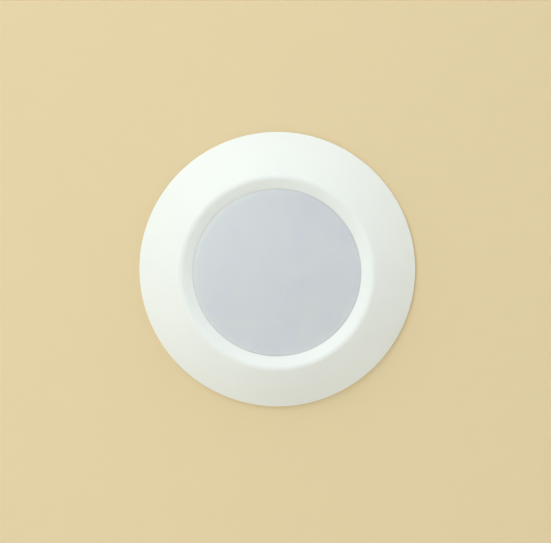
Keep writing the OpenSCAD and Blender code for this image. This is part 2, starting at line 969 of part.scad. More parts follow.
module driver_case() {
    color("whitesmoke")
        facing()
            difference() {
                union() {
                    rotate_extrude()
                        polygon(rounded_path([
                            [case_in, cover_z], [case_r, cover_z], [case_r, tray_back], [case_in, tray_back]
                        ], [0, seam_round, 0, 0]));
                    intersection() {
                        case_wall_bound();
                        union() {
                            ring(3, case_post_ring, case_post_turn)
                                translate([0, 0, cover_z])
                                    cylinder(r = case_post_r, h = tray_back - cover_z);
                            ring(3, case_post_ring, board_post_turn)
                                translate([0, 0, driver_front])
                                    cylinder(r = case_post_r, h = tray_back - driver_front);
                        }
                    }
                }
                ring(3, case_post_ring, case_post_turn) {
                    translate([0, 0, tray_back - case_screw_reach - 0.5])
                        cylinder(r = screw_r + bore_slip, h = case_screw_reach + 1.5);
                    translate([0, 0, cover_z - 1])
                        cylinder(r = screw_r + bore_slip, h = cover_screw_reach + 1.5);
                }
                ring(3, case_post_ring, board_post_turn)
                    translate([0, 0, driver_front - 1])
                        cylinder(r = screw_r + bore_slip, h = driver_screw_reach + 1.5);
            }
}

module case_screws() {
    color("silver")
        facing()
            ring(3, case_post_ring, case_post_turn)
                translate([0, 0, tray_top])
                    difference() {
                        union() {
                            translate([0, 0, -screw_r])
                                cylinder(r1 = screw_r, r2 = 2 * screw_r, h = screw_r);
                            translate([0, 0, -tray_floor - case_screw_reach])
                                cylinder(r = screw_r, h = tray_floor + case_screw_reach);
                        }
                        for (turn = [0, 90])
                            rotate([0, 0, turn])
                                translate([-1.6, -0.35, -0.9])
                                    cube([3.2, 0.7, 2]);
                    }
}

module driver_board() {
    color("seagreen")
        facing()
            difference() {
                translate([0, 0, driver_back])
                    cylinder(r = case_in - 1, h = driver_board_t);
                ring(3, case_post_ring, case_post_turn)
                    translate([0, 0, driver_back - 1])
                        cylinder(r = case_post_r + 0.6, h = driver_board_t + 2);
                ring(3, case_post_ring, board_post_turn)
                    translate([0, 0, driver_back - 1])
                        cylinder(r = screw_r + bore_slip, h = driver_board_t + 2);
            }
}

module driver_screws() {
    color("silver")
        facing()
            ring(3, case_post_ring, board_post_turn)
                translate([0, 0, driver_back])
                    pan_screw(screw_r, driver_board_t + driver_screw_reach, small_head_r, small_head_h);
}

// Places a part on the back of the driver's board, growing backwards
module on_driver(place) {
    translate([place[0], place[1], driver_back])
        mirror([0, 0, 1])
            children();
}

module transformer() {
    color("goldenrod")
        facing()
            on_driver(transformer_pos) {
                translate([-core_l / 2, -bobbin_w / 2, 0])
                    cube([core_l, bobbin_w, bobbin_t]);
                for (z = [bobbin_t, bobbin_t + yoke_t + drum_h])
                    translate([-core_l / 2, -core_w / 2, z])
                        cube([core_l, core_w, yoke_t]);
                for (side = [-1, 1])
                    translate([side * (core_l - yoke_t) / 2 - yoke_t / 2, -core_w / 2, bobbin_t + yoke_t])
                        cube([yoke_t, core_w, drum_h]);
                translate([0, 0, bobbin_t + yoke_t])
                    cylinder(r = drum_r, h = drum_h);
            }
}

module capacitor(radius, height) {
    difference() {
        union() {
            cylinder(r = radius, h = height);
            cylinder(r = radius + 0.3, h = 1.2);
        }
        translate([0, 0, 2.2])
            rotate_extrude()
                translate([radius - 0.4, 0])
                    square([1, 0.7]);
        for (turn = [0, 90])
            rotate([0, 0, turn])
                translate([-radius * 0.7, -0.2, height - 0.4])
                    cube([radius * 1.4, 0.4, 1]);
    }
}

module capacitors() {
    color("midnightblue")
        facing() {
            on_driver(capacitor_pos)
                capacitor(capacitor_r, capacitor_h);
            on_driver(small_capacitor_pos)
                capacitor(small_capacitor_r, small_capacitor_h);
        }
}

module surge_guards() {
    cap_r = fuse_r + 0.4;
    color("saddlebrown")
        facing() {
            on_driver(fuse_pos)
                translate([-fuse_l / 2, 0, cap_r])
                    rotate([0, 90, 0]) {
                        cylinder(r = fuse_r, h = fuse_l);
                        for (x = [0, fuse_l - fuse_cap_l])
                            translate([0, 0, x])
                                cylinder(r = cap_r, h = fuse_cap_l);
                    }
            on_driver(varistor_pos) {
                translate([0, varistor_t / 2, varistor_r * 1.35])
                    rotate([90, 0, 0])
                        cylinder(r = varistor_r, h = varistor_t);
                for (side = [-1, 1])
                    translate([side * varistor_r / 2, 0, 0])
                        cylinder(r = pin_r, h = varistor_r * 0.75);
            }
        }
}

module control_chips() {
    leg_t = 0.5;
    lift = 0.3;
    color("dimgray")
        facing() {
            on_driver(rectifier_pos)
                translate([-rectifier_l / 2, -rectifier_w / 2, 0])
                    cube([rectifier_l, rectifier_w, rectifier_h]);
            on_driver(chip_pos)
                union() {
                    translate([-chip_l / 2, -chip_w / 2, lift])
                        cube([chip_l, chip_w, chip_h]);
                    for (i = [-1.5:1.5])
                        translate([i * chip_l / 4 - leg_t / 2, -chip_w * 0.75, 0])
                            cube([leg_t, chip_w * 1.5, leg_t]);
                }
        }
}

module terminal_block() {
    color("forestgreen")
        facing()
            on_driver([grommet_pos[0], grommet_pos[1] - terminal_w / 2])
                difference() {
                    translate([-terminal_l / 2, -terminal_w / 2, 0])
                        cube([terminal_l, terminal_w, terminal_h]);
                    for (side = [-1, 1])
                        translate([side * pole_pitch / 2, 0, 0]) {
                            translate([0, -terminal_w / 2 - 1, terminal_h * 0.35])
                                rotate([-90, 0, 0])
                                    cylinder(r = pole_pitch * 0.23, h = terminal_w * 0.6);
                            translate([0, terminal_w * 0.08, terminal_h * 0.55])
                                cylinder(r = pole_pitch * 0.3, h = terminal_h);
                        }
                }
}

// The slot that the selector's knob slides in, with some play beyond its travel
module selector_slot(play, depth) {
    length = selector_travel + knob_w + 2 * play;
    width = knob_l + 2 * play;
    translate([selector_pos[0] - length / 2, selector_pos[1] - width / 2, 0])
        cube([length, width, depth]);
}

module driver_cover() {
    color("whitesmoke")
        facing()
            difference() {
                rotate_extrude()
                    polygon(rounded_path([
                        [0, cover_z], [case_r, cover_z], [case_r, cover_back], [0, cover_back]
                    ], [0, seam_round, cover_round, 0]));
                ring(3, case_post_ring, case_post_turn)
                    translate([0, 0, cover_back - 1])
                        cylinder(r = screw_r + 0.2, h = cover_t + 2);
                translate([grommet_pos[0], grommet_pos[1], cover_back - 1])
                    cylinder(r = grommet_r + slip, h = cover_t + 2);
                translate([0, 0, cover_back - 1])
                    selector_slot(knob_play, cover_t + 2);
                for (i = [-2:2])
                    translate([selector_pos[0] + i * selector_travel / 4, selector_pos[1] - 3.5, cover_back])
                        cube([0.4, 1.8, 0.6], center = true);
            }
}

module cover_screws() {
    color("silver")
        facing()
            ring(3, case_post_ring, case_post_turn)
                translate([0, 0, cover_back])
                    pan_screw(screw_r, cover_t + cover_screw_reach, small_head_r, small_head_h);
}

module lead_grommet() {
    color("black")
        facing()
            translate([grommet_pos[0], grommet_pos[1], 0])
                rotate_extrude()
                    translate([lead_bore_r, 0])
                        union() {
                            translate([0, cover_back - grommet_flange])
                                square([grommet_wall, cover_t + 2 * grommet_flange]);
                            for (z = [cover_back - grommet_flange, cover_z])
                                translate([0, z])
                                    square([grommet_wall + grommet_lip, grommet_flange]);
                        }
}

module selector_switch() {
    body = [selector_travel + knob_w + 2 * switch_margin, knob_l + 2 * switch_margin, switch_h];
    color("gray")
        facing()
            difference() {
                union() {
                    translate([selector_pos[0] - body[0] / 2, selector_pos[1] - body[1] / 2, cover_z])
                        cube(body);
                    for (i = [-1.5:1.5])
                        translate([i * selector_travel / 3, selector_pos[1], cover_z + switch_h])
                            cylinder(r = pin_r, h = driver_back - cover_z - switch_h);
                }
                translate([0, 0, cover_z - 1])
                    selector_slot(knob_play, 1 + knob_depth + knob_play);
            }
}

module selector_knob() {
    low = cover_back - knob_proud;
    color("dimgray")
        facing()
            difference() {
                translate([selector_pos[0] - knob_w / 2, selector_pos[1] - knob_l / 2, low])
                    cube([knob_w, knob_l, cover_z + knob_depth - low]);
                translate([selector_pos[0] - 0.3, selector_pos[1] - knob_l / 2 - 1, low - 1])
                    cube([0.6, knob_l + 2, 1.4]);
            }
}

mounting_plate();
ground_screw();
right_spring_bracket();
left_spring_bracket();
bracket_rivets();
spring_arbors();
right_spring_coil();
left_spring_coil();
right_spring_upper_arm();
right_spring_lower_arm();
left_spring_upper_arm();
left_spring_lower_arm();
trim_ring();
ceiling_gasket();
lens();
lens_seal();
reflector();
led_board();
led_chips();
board_screws();
heat_pad();
lamp_tray();
tray_seal();
trim_screws();
locking_studs();
lead_connector();
positive_lead();
negative_lead();
driver_case();
case_screws();
driver_board();
driver_screws();
transformer();
capacitors();
surge_guards();
control_chips();
terminal_block();
driver_cover();
cover_screws();
lead_grommet();
selector_switch();
selector_knob();
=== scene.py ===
"""Dresses the disk light.

The frame gives every node its place. This script adds the smooth trim, the lens, the soft rings and the
spring wires, gives every piece a procedural finish, and sets the stage, the lights and the camera.
"""

import math

import bmesh
import bpy
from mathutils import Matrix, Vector

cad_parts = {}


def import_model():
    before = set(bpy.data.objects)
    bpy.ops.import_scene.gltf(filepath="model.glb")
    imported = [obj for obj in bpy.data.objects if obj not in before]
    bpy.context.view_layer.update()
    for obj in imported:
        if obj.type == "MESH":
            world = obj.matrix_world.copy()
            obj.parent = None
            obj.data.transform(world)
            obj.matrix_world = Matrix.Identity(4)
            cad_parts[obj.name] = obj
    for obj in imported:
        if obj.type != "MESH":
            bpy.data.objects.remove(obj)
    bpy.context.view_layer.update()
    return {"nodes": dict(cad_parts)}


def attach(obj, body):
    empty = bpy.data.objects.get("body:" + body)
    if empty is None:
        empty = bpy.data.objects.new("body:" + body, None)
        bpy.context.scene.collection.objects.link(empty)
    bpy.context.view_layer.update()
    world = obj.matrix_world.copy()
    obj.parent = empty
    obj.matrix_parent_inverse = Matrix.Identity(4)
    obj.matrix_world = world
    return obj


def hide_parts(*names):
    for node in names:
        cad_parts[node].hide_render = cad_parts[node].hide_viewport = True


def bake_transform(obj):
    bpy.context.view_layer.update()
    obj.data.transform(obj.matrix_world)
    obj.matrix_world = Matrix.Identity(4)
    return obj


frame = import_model()
cad = frame["nodes"]
scene = bpy.context.scene

# Camera
PIXEL = 0.0006905  # metres a pixel at the wall, at which the trim is as wide as in the photograph
WIDTH, HEIGHT = 551, 543
TRIM_PIXEL_X, TRIM_PIXEL_Y = 277.2, 270.1  # where the axis of the light meets the wall in the photograph
DISTANCE = 1.0
AZIMUTH, ELEVATION = math.radians(0.5), math.radians(5.8)
SENSOR = 36.0


def point_at(obj, target):
    """Turns an object's -Z towards a point, with +Z of the world upwards."""
    obj.rotation_euler = (Vector(target) - obj.location).to_track_quat("-Z", "Y").to_euler()


def add_camera():
    data = bpy.data.cameras.new("camera")
    data.sensor_fit = "HORIZONTAL"
    data.sensor_width = SENSOR
    data.lens = SENSOR * DISTANCE / (WIDTH * PIXEL)
    data.dof.use_dof = False
    camera = bpy.data.objects.new("camera", data)
    scene.collection.objects.link(camera)
    target = Vector(((WIDTH / 2 - TRIM_PIXEL_X) * PIXEL, 0, (TRIM_PIXEL_Y - HEIGHT / 2) * PIXEL))
    level = math.cos(ELEVATION)
    away = Vector((math.sin(AZIMUTH) * level, -math.cos(AZIMUTH) * level, math.sin(ELEVATION)))
    camera.location = target + DISTANCE * away
    point_at(camera, target)
    scene.camera = camera


add_camera()

# Sizes of the trim, in millimetres, as in the part's source
TRIM_R, CREST_R, VIEW_R = 95.0, 65.0, 57.0
TRIM_H, RECESS, WALL, BULGE = 24.0, 4.0, 2.0, 1.3
RIM_BACK, RIM_EDGE, RIM_ROUND = 0.5, 2.4, 0.8
CREST_ROUND, FOOT_ROUND = 4.0, 0.5
BELLY_SHARE = 0.75  # share of the flange that the bulge's arc takes
UNDER_BELLY_ROUND, UNDER_CREST_ROUND, UNDER_REACH = 60.0, 2.0, 6.0
LIP_H = 2.2
FOOT_Z = TRIM_H - RECESS
LIP_Z = FOOT_Z - LIP_H
CHAMFER, FILLET = 0.2, 0.8

# Sizes of the lens and its seat
SLIP, LENS_SINK, LENS_CROWN, LENS_T = 0.04, 0.1, 2.5, 2.0
LENS_LAP, LENS_EDGE = 4.6, 0.15
LENS_SEAL_T, SKIRT_GAP, SKIRT_T, SKIRT_REACH, TRAY_SEAL_T = 0.8, 0.4, 2.0, 1.4, 1.2
SEAL_MARGIN = 0.3
FACE_Z, FACE_R = FOOT_Z - LENS_SINK, VIEW_R - SLIP
LENS_FRONT = LIP_Z - LENS_SEAL_T
LENS_BACK = LENS_FRONT - LENS_T
LENS_R = VIEW_R + LENS_LAP
SKIRT_IN = LENS_R + SKIRT_GAP
SKIRT_OUT = SKIRT_IN + SKIRT_T
SKIRT_Z = LENS_BACK - SKIRT_REACH
TRAY_RIM_Z = SKIRT_Z - TRAY_SEAL_T

# Sizes of the gasket and its channel
RIM_W, GASKET_W, GASKET_T, GASKET_PLAY, CHANNEL_WALL = 4.0, 8.2, 3.0, 0.3, 1.6
CHANNEL_OUT = TRIM_R - RIM_W
CHANNEL_IN = CHANNEL_OUT - GASKET_W - 2 * GASKET_PLAY
CHANNEL_WALL_R = CHANNEL_IN - CHANNEL_WALL
CHANNEL_WALL_Z = RIM_BACK + GASKET_PLAY

# Sizes of the ribs and screw bosses behind the flange
RIB_COUNT, RIB_T, RIB_BACK, RIB_GAP, RIB_SINK = 16, 1.2, 9.2, 1.0, 0.4
RIB_BENDS = (76.0, 71.0)  # radii at which a rib's edge follows the flange
GUSSET_SINK, GUSSET_LIFT, GUSSET_TOP = 0.8, 0.6, 19.0
BOSS_COUNT, BOSS_RING_R, BOSS_R, BOSS_BORE = 4, 70.5, 3.6, 1.55
BOSS_BACK, BOSS_TOP, BOSS_SINK = 6.8, 17.2, 0.25

# Sizes of the heat pad and the grommet
PAD_HOLE_R, PAD_R, PAD_BACK, PAD_T = 7.0, 54.0, 6.8, 0.5
GROMMET_BORE, GROMMET_NECK, GROMMET_IN, GROMMET_OUT = 3.5, 5.1, 4.6, 6.7
GROMMET_BACK, GROMMET_FRONT, GROMMET_LIP_Z, GROMMET_LIP_T = -24.1, -18.1, -20.0, 1.9
GROMMET_DROP = 16.0

# Sizes of the springs
COIL_R, WIRE_R, COIL_PITCH, COIL_WIND = 5.5, 0.9, 2.3, 820.0
COIL_START_X, COIL_DROP, ARM_ANGLE, ARM_L = 54.95, 12.0, 40.0, 58.0
TIP_BEND, TIP_TURN, TIP_L = 3.0, 60.0, 7.0
COIL_END_X = COIL_START_X + COIL_PITCH * COIL_WIND / 360
TIP_STEPS, BEND_STEPS, ARM_STEPS, COIL_STEPS = 6, 8, 24, 120

# Shading of edges
SHARP = math.radians(32)
CAD_SHARP, CAD_BEVEL_FROM = math.radians(30), math.radians(35)
SOFT_EDGE = 0.00012  # metres; the small bevel on the edges of the carried-over nodes


# Mesh helpers
def world(p):
    """A point drawn facing +Z in millimetres, as the row frame has it: facing -Y, in metres."""
    return (p[0] * 0.001, -p[2] * 0.001, p[1] * 0.001)


def add_mesh(name, points, faces):
    mesh = bpy.data.meshes.new(name)
    mesh.from_pydata([world(p) for p in points], [], faces)
    build = bmesh.new()
    build.from_mesh(mesh)
    bmesh.ops.remove_doubles(build, verts=build.verts, dist=1e-7)
    bmesh.ops.recalc_face_normals(build, faces=build.faces)
    build.to_mesh(mesh)
    build.free()
    mesh.shade_smooth()
    mesh.set_sharp_from_angle(angle=SHARP)
    obj = bpy.data.objects.new(name, mesh)
    scene.collection.objects.link(obj)
    return obj


def joined(*shapes):
    """Several (points, faces) shapes as one."""
    points, faces = [], []
    for p, f in shapes:
        faces += [tuple(i + len(points) for i in face) for face in f]
        points += p
    return points, faces


def lathe(profile, steps, centre=(0.0, 0.0)):
    """A closed (radius, height) outline turned round an axis."""
    n = len(profile)
    points, faces = [], []
    for i in range(steps):
        a = 2 * math.pi * i / steps
        points += [(centre[0] + r * math.cos(a), centre[1] + r * math.sin(a), z) for r, z in profile]
    for i in range(steps):
        j = (i + 1) % steps
        for k in range(n):
            m = (k + 1) % n
            faces.append((i * n + k, j * n + k, j * n + m, i * n + m))
    return points, faces


def rounded(corners, radii, steps=10, closed=False):
    """The corners with each one rounded to its own radius."""
    path = []
    count = len(corners)
    for i, corner in enumerate(corners):
        if radii[i] == 0 or (not closed and i in (0, count - 1)):
            path.append(tuple(corner))
            continue
        b = Vector(corner)
        u = (Vector(corners[i - 1]) - b).normalized()
        w = (Vector(corners[(i + 1) % count]) - b).normalized()
        turn = math.pi - u.angle(w)
        start = b + u * radii[i] * math.tan(turn / 2)
        middle = b + (u + w).normalized() * radii[i] / math.cos(turn / 2)
        first = math.atan2(start.y - middle.y, start.x - middle.x)
        cross = (-u.x) * w.y - (-u.y) * w.x
        for k in range(steps + 1):
            a = first + math.copysign(turn, cross) * k / steps
            path.append((middle.x + radii[i] * math.cos(a), middle.y + radii[i] * math.sin(a)))
    return path


def inset(path, wall):
    """The path's points moved inwards by the wall, mitred."""
    moved = []
    for i, p in enumerate(path):
        normals = []
        for a, b in ((i - 1, i), (i, i + 1)):
            if 0 <= a and b < len(path):
                d = (Vector(path[b]) - Vector(path[a])).normalized()
                normals.append(Vector((d.y, -d.x)))
        n, m = normals[0], normals[-1]
        moved.append(Vector(p) - wall * (n + m) / (1 + n.dot(m)))
    return moved


def height_at(path, radius):
    """Height of a path that climbs inwards, at a radius."""
    for a, b in zip(path, path[1:]):
        if a[0] >= radius >= b[0] and a[0] > b[0]:
            return a[1] + (b[1] - a[1]) * (a[0] - radius) / (a[0] - b[0])
    raise ValueError(radius)


def ring_profile(inner, outer, low, high, r, steps=4):
    """A rectangle between two radii and two heights, with rounded corners."""
    corners = [(inner, low), (outer, low), (outer, high), (inner, high)]
    return rounded(corners, [r] * 4, steps, closed=True)


def tube(path, radius, sides):
    """A round wire along a path, with domed ends."""
    dome = ((0.9, 0.45), (0.6, 0.8), (0.25, 0.97))  # how far past the end, and the share of the radius there
    path = [Vector(p) for p in path]
    count = len(path)
    tangents = [(path[min(i + 1, count - 1)] - path[max(i - 1, 0)]).normalized() for i in range(count)]
    side = tangents[0].orthogonal().normalized()
    rings = []
    for i, p in enumerate(path):
        side = (side - tangents[i] * side.dot(tangents[i])).normalized()
        rings.append((p, side.copy(), tangents[i].cross(side)))
    shells = [(rings[0][0] - tangents[0] * radius * past, rings[0], share) for past, share in dome]
    shells += [(ring[0], ring, 1.0) for ring in rings]
    shells += [(rings[-1][0] + tangents[-1] * radius * past, rings[-1], share) for past, share in dome[::-1]]
    points = []
    for p, (_, u, v), share in shells:
        for k in range(sides):
            a = 2 * math.pi * k / sides
            points.append(tuple(p + radius * share * (math.cos(a) * u + math.sin(a) * v)))
    faces = []
    for i in range(len(shells) - 1):
        for k in range(sides):
            m = (k + 1) % sides
            faces.append((i * sides + k, i * sides + m, (i + 1) * sides + m, (i + 1) * sides + k))
    last = (len(shells) - 1) * sides
    faces += [tuple(range(sides)), tuple(last + k for k in range(sides))]
    return points, faces


def radial_plate(outline, thickness, degrees):
    """A flat (radius, height) outline set radially at an angle, its free edges chamfered."""
    layers = ((-0.5, 0.12), (-0.38, 0), (0.38, 0), (0.5, 0.12))  # offset and inset, in thicknesses
    a = math.radians(degrees)
    along, across = Vector((math.cos(a), math.sin(a), 0)), Vector((-math.sin(a), math.cos(a), 0))
    n = len(outline)
    mid = Vector((sum(r for r, _ in outline) / n, sum(z for _, z in outline) / n))
    points, faces = [], []
    for offset, share in layers:
        for r, z in outline:
            p = Vector((r, z))
            p += (mid - p).normalized() * share * thickness
            q = along * p.x + across * offset * thickness
            points.append((q.x, q.y, p.y))
    for layer in range(len(layers) - 1):
        for k in range(n):
            m = (k + 1) % n
            faces.append((layer * n + k, layer * n + m, (layer + 1) * n + m, (layer + 1) * n + k))
    last = (len(layers) - 1) * n
    faces += [tuple(range(n)), tuple(last + k for k in range(n))]
    return points, faces


# Material helpers
class Finish:
    """A node material on one Principled shader, with short ways to add its textures."""

    def __init__(self, name, **values):
        self.material = bpy.data.materials.new(name)
        self.material.use_nodes = True
        self.tree = self.material.node_tree
        self.tree.nodes.clear()
        self.output = self.node("OutputMaterial")
        self.shader = self.node("BsdfPrincipled")
        self.link(self.shader.outputs["BSDF"], self.output.inputs["Surface"])
        for key, value in values.items():
            self.shader.inputs[key.replace("_", " ")].default_value = value
        self.place = self.node("TexCoord").outputs["Object"]
        self.normal = None

    def node(self, kind, **settings):
        made = self.tree.nodes.new("ShaderNode" + kind)
        for key, value in settings.items():
            setattr(made, key, value)
        return made

    def link(self, a, b):
        self.tree.links.new(a, b)

    def stretched(self, scale):
        mapping = self.node("Mapping")
        mapping.inputs["Scale"].default_value = scale
        self.link(self.place, mapping.inputs["Vector"])
        return mapping.outputs["Vector"]

    def noise(self, scale, detail=3.0, rough=0.55, stretch=None, warp=0.0):
        made = self.node("TexNoise")
        made.inputs["Scale"].default_value = scale
        made.inputs["Detail"].default_value = detail
        made.inputs["Roughness"].default_value = rough
        made.inputs["Distortion"].default_value = warp
        self.link(self.stretched(stretch) if stretch else self.place, made.inputs["Vector"])
        return made.outputs["Fac"]

    def cells(self, scale, output="Distance"):
        made = self.node("TexVoronoi")
        made.inputs["Scale"].default_value = scale
        self.link(self.place, made.inputs["Vector"])
        return made.outputs[output]

    def ramp(self, value, stops):
        made = self.node("ValToRGB")
        elements = made.color_ramp.elements
        while len(elements) < len(stops):
            elements.new(0.5)
        for element, (at, colour) in zip(elements, stops):
            element.position = at
            element.color = (*colour, 1.0)
        self.link(value, made.inputs["Fac"])
        return made.outputs["Color"]

    def spread(self, value, low, high, out_low, out_high):
        made = self.node("MapRange")
        for key, v in zip(("From Min", "From Max", "To Min", "To Max"), (low, high, out_low, out_high)):
            made.inputs[key].default_value = v
        self.link(value, made.inputs["Value"])
        return made.outputs["Result"]

    def mixed(self, factor, a, b):
        made = self.node("Mix", data_type="RGBA")
        if isinstance(factor, float):
            made.inputs["Factor"].default_value = factor
        else:
            self.link(factor, made.inputs["Factor"])
        for key, v in (("A", a), ("B", b)):
            socket = [s for s in made.inputs if s.name == key and s.type == "RGBA"][0]
            if isinstance(v, tuple):
                socket.default_value = (*v, 1.0)
            else:
                self.link(v, socket)
        return [s for s in made.outputs if s.type == "RGBA"][0]

    def bump(self, value, height, strength=1.0):
        made = self.node("Bump")
        made.inputs["Strength"].default_value = strength
        made.inputs["Distance"].default_value = height
        self.link(value, made.inputs["Height"])
        if self.normal:
            self.link(self.normal, made.inputs["Normal"])
        self.normal = made.outputs["Normal"]
        self.link(self.normal, self.shader.inputs["Normal"])

    def colour(self, value):
        self.link(value, self.shader.inputs["Base Color"])

    def roughness(self, noise, low, high):
        """Roughness that drifts between two values with a noise."""
        self.link(self.spread(noise, 0.3, 0.7, low, high), self.shader.inputs["Roughness"])


def toned(colour, factor):
    """A colour made darker or lighter, up to white."""
    return tuple(min(1.0, c * factor) for c in colour)


def plastic(name, colour, rough=(0.35, 0.5), shift=0.06):
    """Moulded plastic: faint colour drift, fine texture and a little handling gloss."""
    f = Finish(name)
    stops = [(0.3, toned(colour, 1 - shift)), (0.55, colour), (0.75, toned(colour, 1 + shift * 0.5))]
    f.colour(f.ramp(f.noise(60, 4), stops))
    f.roughness(f.noise(140, 5), *rough)
    f.bump(f.noise(1200, 2), 0.00002)
    return f.material


def metal(name, colour, rough, shift=0.12):
    """Plated or bare metal: patchy reflectance and fine marks."""
    f = Finish(name, Metallic=1.0)
    stops = [(0.28, toned(colour, 1 - shift)), (0.5, colour), (0.74, toned(colour, 1 + shift * 0.6))]
    f.colour(f.ramp(f.noise(90, 5, 0.6, warp=0.4), stops))
    marks = f.noise(900, 3, 0.6)
    f.roughness(marks, *rough)
    f.bump(marks, 0.00002)
    return f.material


def rubber(name, colour, rough=(0.6, 0.8)):
    """Matt rubber: mottled, with a fine moulded grain."""
    f = Finish(name)
    f.colour(f.ramp(f.noise(220, 4), [(0.35, toned(colour, 0.8)), (0.65, colour)]))
    f.roughness(f.noise(400, 3), *rough)
    f.bump(f.noise(1500, 2), 0.00004)
    return f.material


def trim_finish():
    """Satin white moulding: a faint drift, rare pale grey specks, and a fine moulded skin."""
    f = Finish("trim_satin_white", Specular_IOR_Level=0.36)
    drift = f.ramp(f.noise(14, 3, 0.5), [(0.3, (0.823, 0.835, 0.822)), (0.7, (0.850, 0.860, 0.848))])
    specks = f.spread(f.cells(900), 0.0, 0.05, 0.08, 0.0)
    f.colour(f.mixed(specks, drift, (0.62, 0.62, 0.58)))
    f.roughness(f.noise(55, 5), 0.52, 0.64)
    f.bump(f.noise(26, 2), 0.00008, 0.35)
    f.bump(f.noise(2600, 2), 0.000008, 0.5)
    return f.material


def lens_finish():
    """Frosted diffuser: lilac grey, a paler band inside its edge that is painted light (the glow of the
    bright bevel, and lift against the gap's shade), faint haze marks and an etched skin.
    """
    f = Finish("lens_frosted", Coat_Weight=0.8, Coat_Roughness=0.36,
               Subsurface_Weight=0.25, Subsurface_Scale=0.004)
    f.shader.inputs["Subsurface Radius"].default_value = (1.0, 1.0, 1.0)
    # Colour by distance from the axis: the ring of paler stops in the last few hundredths of the radius is
    # painted light, the bevel's glow on the lens's edge, and it also lifts the shade of the gap there.
    flat = f.node("VectorMath", operation="MULTIPLY")
    flat.inputs[1].default_value = (1.0, 0.0, 1.0)
    f.link(f.place, flat.inputs[0])
    reach = f.node("VectorMath", operation="LENGTH")
    f.link(flat.outputs["Vector"], reach.inputs[0])
    away = f.spread(reach.outputs["Value"], 0.0, 0.0569, 0.0, 1.0)
    edge_glow_tone = f.ramp(away, [
        (0.0, (0.614, 0.632, 0.672)), (0.80, (0.620, 0.638, 0.677)), (0.93, (0.629, 0.649, 0.686)),
        (0.965, (0.655, 0.672, 0.706)), (1.0, (0.685, 0.699, 0.726))])
    lilac = f.spread(f.noise(19, 2, 0.5, warp=1.4), 0.46, 0.66, 0.0, 0.6)
    haze = f.spread(f.noise(34, 4, 0.6, warp=0.8), 0.45, 0.8, 0.0, 0.22)
    f.colour(f.mixed(haze, f.mixed(lilac, edge_glow_tone, (0.575, 0.583, 0.690)), (0.715, 0.715, 0.750)))
    f.roughness(f.noise(300, 4), 0.36, 0.46)
    f.bump(f.noise(3200, 2), 0.000012, 0.6)
    return f.material


def foam_finish():
    """Closed-cell foam: near black, with small pores whose hollows carry painted shade."""
    f = Finish("gasket_foam", Sheen_Weight=0.2)
    pores = f.cells(1400)
    # The colour darkens towards each pore's middle, where the bump sinks it: painted shade in the pores.
    stops = [(0.0, (0.012, 0.012, 0.013)), (0.45, (0.035, 0.035, 0.038)), (1.0, (0.06, 0.06, 0.064))]
    f.colour(f.ramp(pores, stops))
    f.roughness(f.noise(500, 3), 0.82, 0.96)
    f.bump(pores, 0.00018, 0.8)
    return f.material


def plated_finish(name, colour, warm):
    """Bright zinc: soft crystal patches, a breath of yellow and rolled lines."""
    f = Finish(name, Metallic=1.0)
    base = f.ramp(f.noise(40, 4, 0.6, warp=0.6), [(0.3, toned(colour, 0.86)), (0.55, colour), (0.8, warm)])
    grey = f.node("RGBToBW")
    f.link(f.cells(260, "Color"), grey.inputs["Color"])
    crystals = f.ramp(grey.outputs["Val"], [(0.0, toned(colour, 0.75)), (1.0, toned(colour, 1.1))])
    f.colour(f.mixed(0.22, base, crystals))
    lines = f.noise(700, 3, 0.6, stretch=(1.0, 1.0, 0.05))
    f.roughness(lines, 0.28, 0.46)
    f.bump(lines, 0.00001, 0.6)
    f.bump(f.noise(60, 2), 0.00004, 0.3)
    return f.material


def tray_finish():
    """Stamped aluminium tray: pale, with pressing rings."""
    f = Finish("tray_aluminium", Metallic=1.0)
    stops = [(0.3, (0.60, 0.61, 0.62)), (0.6, (0.70, 0.71, 0.72)), (0.8, (0.76, 0.77, 0.78))]
    f.colour(f.ramp(f.noise(70, 5, 0.6), stops))
    rings = f.node("TexWave", wave_type="RINGS", rings_direction="Y")
    rings.inputs["Scale"].default_value = 420.0
    rings.inputs["Distortion"].default_value = 1.2
    f.link(f.place, rings.inputs["Vector"])
    f.link(f.spread(rings.outputs["Fac"], 0.0, 1.0, 0.34, 0.46), f.shader.inputs["Roughness"])
    f.bump(rings.outputs["Fac"], 0.000012, 0.6)
    return f.material


def wire_finish():
    """Drawn spring steel: even grey with fine marks."""
    f = Finish("spring_wire", Metallic=1.0)
    stops = [(0.3, (0.50, 0.50, 0.51)), (0.6, (0.56, 0.56, 0.565)), (0.8, (0.60, 0.60, 0.60))]
    f.colour(f.ramp(f.noise(120, 3, 0.5), stops))
    f.roughness(f.noise(260, 4), 0.24, 0.34)
    f.bump(f.noise(2400, 2), 0.000004, 0.5)
    return f.material


def board_finish(name, mask, trace, pad):
    """Circuit board: solder mask over traces, with bare pads."""
    f = Finish(name)
    tracks = f.node("TexBrick", offset=0.5, squash=1.0)
    tracks.inputs["Scale"].default_value = 140.0
    tracks.inputs["Mortar Size"].default_value = 0.06
    tracks.inputs["Brick Width"].default_value = 0.9
    tracks.inputs["Row Height"].default_value = 0.35
    for key, colour in (("Color1", mask), ("Color2", toned(mask, 1.06)), ("Mortar", trace)):
        tracks.inputs[key].default_value = (*colour, 1.0)
    turned = f.node("Mapping")
    turned.inputs["Rotation"].default_value = (math.radians(90), 0, 0)
    f.link(f.place, turned.inputs["Vector"])
    f.link(turned.outputs["Vector"], tracks.inputs["Vector"])
    pads = f.spread(f.cells(420), 0.10, 0.14, 0.5, 0.0)
    f.colour(f.mixed(pads, tracks.outputs["Color"], pad))
    f.roughness(f.noise(300, 3), 0.3, 0.42)
    f.bump(f.noise(2400, 2), 0.00001, 0.5)
    return f.material


# Pieces built here
def dress(obj, material, body, nodes):
    obj.data.materials.append(material)
    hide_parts(*nodes)
    if body:
        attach(obj, body)


